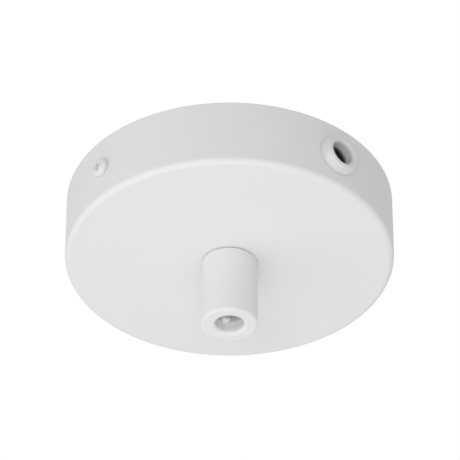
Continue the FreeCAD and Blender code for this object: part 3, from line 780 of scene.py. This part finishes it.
# The bush of the side entry is moulded in white plastic. It snaps into the wall,
# and the underside of its domed flange follows the canopy's curve.
bush_bore = 4.5 * MM
bush_flange = 7.9 * MM
bush_top = canopy_radius + 3.3 * MM
bush_rim = canopy_radius + 0.7 * MM
bush_crown = 6.4 * MM
bush_crown_round = 1.0 * MM
bush_edge_round = 0.5 * MM
bush_lip = 1.3 * MM
bush_neck = 5.8 * MM
bush_clip = 6.9 * MM
bush_clip_bevel = 0.5 * MM
bush_clip_face = 58.49 * MM
bush_clip_end = 57.29 * MM
bush_bore_end = 59.0 * MM
bush_flare = 5.6 * MM
bush_saddle = canopy_radius + 0.1 * MM
bush_saddle_steps = (bush_neck, 6.5 * MM, 7.2 * MM, bush_flange)


def saddle(radius):
    """An outline entry on the canopy's curved outside, at one distance from the bush's axis."""

    def at(angle):
        across = radius * math.cos(angle)
        return radius, math.sqrt(bush_saddle ** 2 - across ** 2)

    return at


def bush_outline():
    """The bush's section from its inner end, under the flange, over the dome and back in."""
    guard = 0.2 * MM
    clip = [
        (bush_flare, bush_clip_end),
        (bush_clip - bush_clip_bevel, bush_clip_end),
        (bush_clip, bush_clip_end + bush_clip_bevel),
        (bush_clip, bush_clip_face),
        (bush_neck, bush_clip_face),
    ]
    under = [saddle(radius) for radius in bush_saddle_steps]
    slope = math.atan2(bush_top - bush_rim, bush_flange - bush_crown)
    turn = 90 - math.degrees(slope)
    edge_drop = bush_edge_round * math.tan((math.pi / 2 - slope) / 2)
    edge_middle = (bush_flange - bush_edge_round, bush_rim - edge_drop)
    edge = arc(edge_middle, bush_edge_round, 0, turn, steps=4)
    crown_back = bush_crown_round * math.tan(slope / 2)
    dome_middle = (bush_crown - crown_back, bush_top - bush_crown_round)
    dome = arc(dome_middle, bush_crown_round, turn, 90, steps=6)
    lip = arc((bush_bore + bush_lip, bush_top - bush_lip), bush_lip, 90, 180, steps=7)
    bore_start = (bush_bore, bush_top - bush_lip - guard)
    bore = run(bore_start, (bush_bore, bush_bore_end), steps=5)
    return clip + under + edge + dome + lip + bore


bush_plastic = grained(
    "bush_plastic", (0.725, 0.726, 0.723), roughness=0.42, grain=2400.0, depth=0.003 * MM,
    Subsurface_Weight=0.4, Subsurface_Scale=1.5 * MM, Subsurface_Radius=(1, 1, 1),
)
bush = turned("side_bush", bush_outline(), sides=128, ring=True)
bush.data.transform(Matrix.Translation(side_place) @ Matrix.Rotation(math.pi / 2, 4, "X"))
smooth(bush)
dress(bush, bush_plastic, stands_for=["side_entry_bush"])

# The terminal block is moulded in natural nylon: three poles on a web, each with
# a screw tower at both ends. Two slotted screws hold it under the bracket.
block_plastic = grained(
    "block_plastic", (0.74, 0.72, 0.64), roughness=0.42, grain=1600.0, depth=0.004 * MM,
    Subsurface_Weight=0.2, Subsurface_Scale=1.0 * MM, Subsurface_Radius=(1, 1, 0.8),
)
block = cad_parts["terminal_housing"]
dress(block, block_plastic)
soften(block, width=0.15 * MM)


def slotted_screw(node, radius, pitch, head_radius, head_height, crown, material, body):
    """A small slotted screw that hangs head down, made to the box of its CAD node."""
    low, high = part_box(node)
    outline = shank(radius, pitch, high.z - low.z - head_height)
    outline += pan_head(head_radius, head_height, crown, steps=6)
    screw = turned(f"{node}_slotted", outline, sides=36)
    cut(screw, slot_cutter(2 * head_radius, head_height))
    seat = Vector(((low.x + high.x) / 2, (low.y + high.y) / 2, low.z + head_height))
    put(screw, seat, (0, 0, -1))
    smooth(screw, sharp=40)
    dress(screw, material, body=body, stands_for=[node])


for end in ("inner", "outer"):
    slotted_screw(
        f"block_screw_{end}", radius=1.25 * MM, pitch=0.45 * MM,
        head_radius=2.25 * MM, head_height=1.5 * MM, crown=0.35 * MM,
        material=zinc_plate, body="rose",
    )

# Each pole holds a drilled brass barrel for the wires, and two zinc-plated screws
# in its towers clamp them.
barrel_brass = plated("barrel_brass", (0.78, 0.58, 0.26), roughness=0.28)
clamp_steel = plated("clamp_steel", (0.60, 0.61, 0.63), roughness=0.36)
for pole in ("live", "neutral", "earth"):
    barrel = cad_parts[f"{pole}_barrel"]
    dress(barrel, barrel_brass)
    soften(barrel, width=0.12 * MM)
    for end in ("front", "rear"):
        node = f"{pole}_screw_{end}"
        slotted_screw(
            node, radius=1.5 * MM, pitch=0.5 * MM,
            head_radius=1.85 * MM, head_height=1.8 * MM, crown=0.35 * MM,
            material=clamp_steel, body=f"{node}_body",
        )

# The earth screw goes up through its toothed washer into the bracket's drawn
# collar, and clamps the earth wire there.
slotted_screw(
    "earth_screw", radius=2.0 * MM, pitch=0.7 * MM,
    head_radius=3.6 * MM, head_height=2.2 * MM, crown=0.6 * MM,
    material=zinc_plate, body="earth_screw_body",
)
